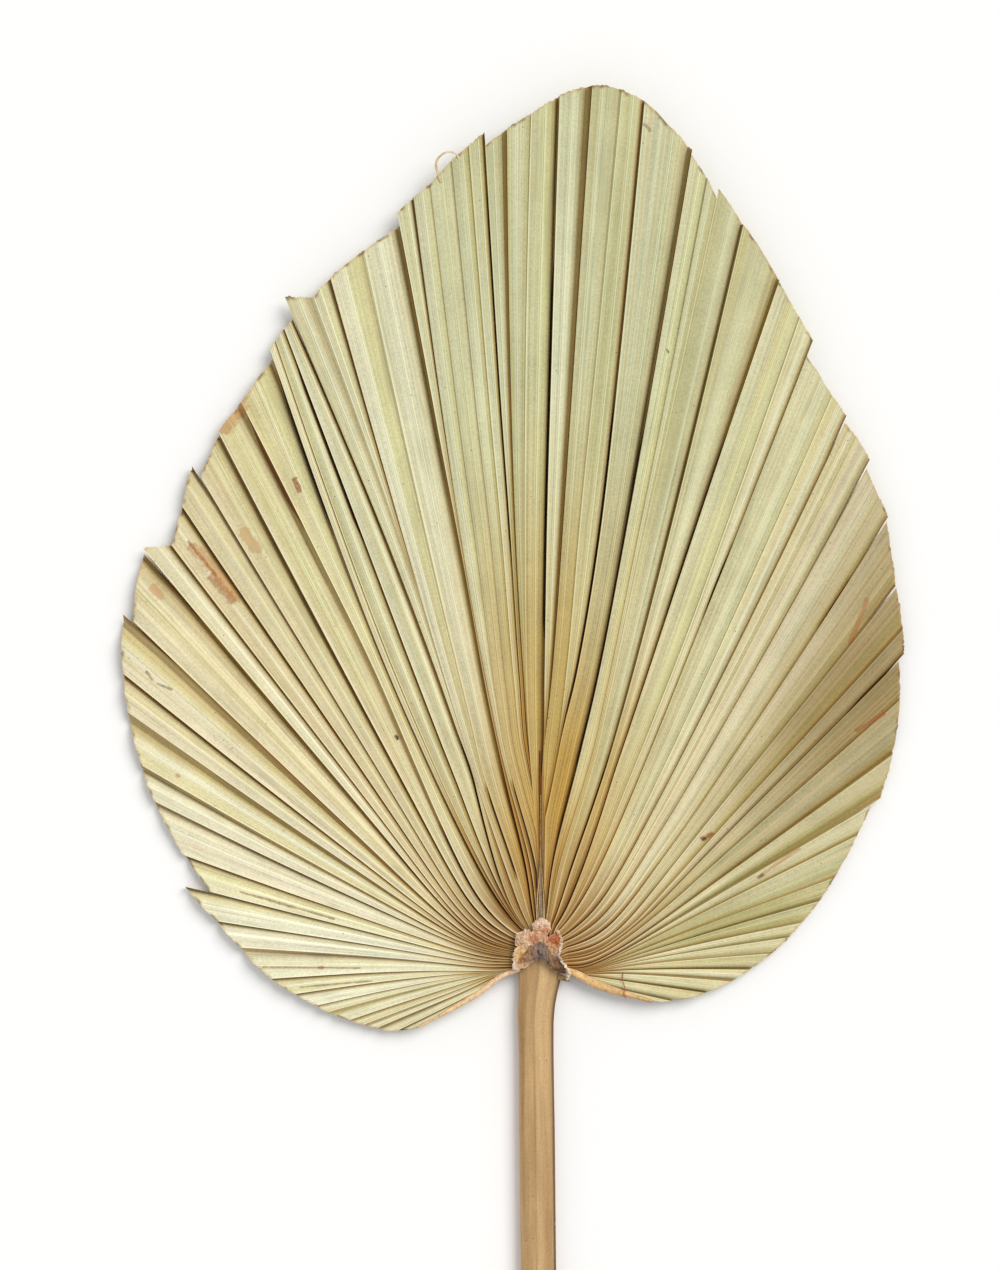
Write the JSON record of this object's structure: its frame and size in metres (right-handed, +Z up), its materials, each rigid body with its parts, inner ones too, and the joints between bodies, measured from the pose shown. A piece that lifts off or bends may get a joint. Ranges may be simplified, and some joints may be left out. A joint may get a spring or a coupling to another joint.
{
  "type": "fan palm leaf",
  "caption": "Dried fan palm leaf lying flat: a spade-shaped pleated blade with a cut edge, a papery crest at its joint and a long woody stalk.",
  "frame": {"origin": "on the stalk's flat underside, below the joint of blade and stalk", "axes": "+Y from the stalk to the leaf's tip, +Z up from the surface that it lies on"},
  "size_m": [0.3523, 0.6399, 0.016],
  "materials": {
    "blade": "dried leaf, matt, straw to pale green",
    "stalk": "smooth dried stalk, tan brown",
    "crest": "papery dried skin, pinkish brown"
  },
  "bodies": {
    "root": {"blade": "blade", "stalk": "stalk", "crest": "crest"}
  },
  "joints": []
}
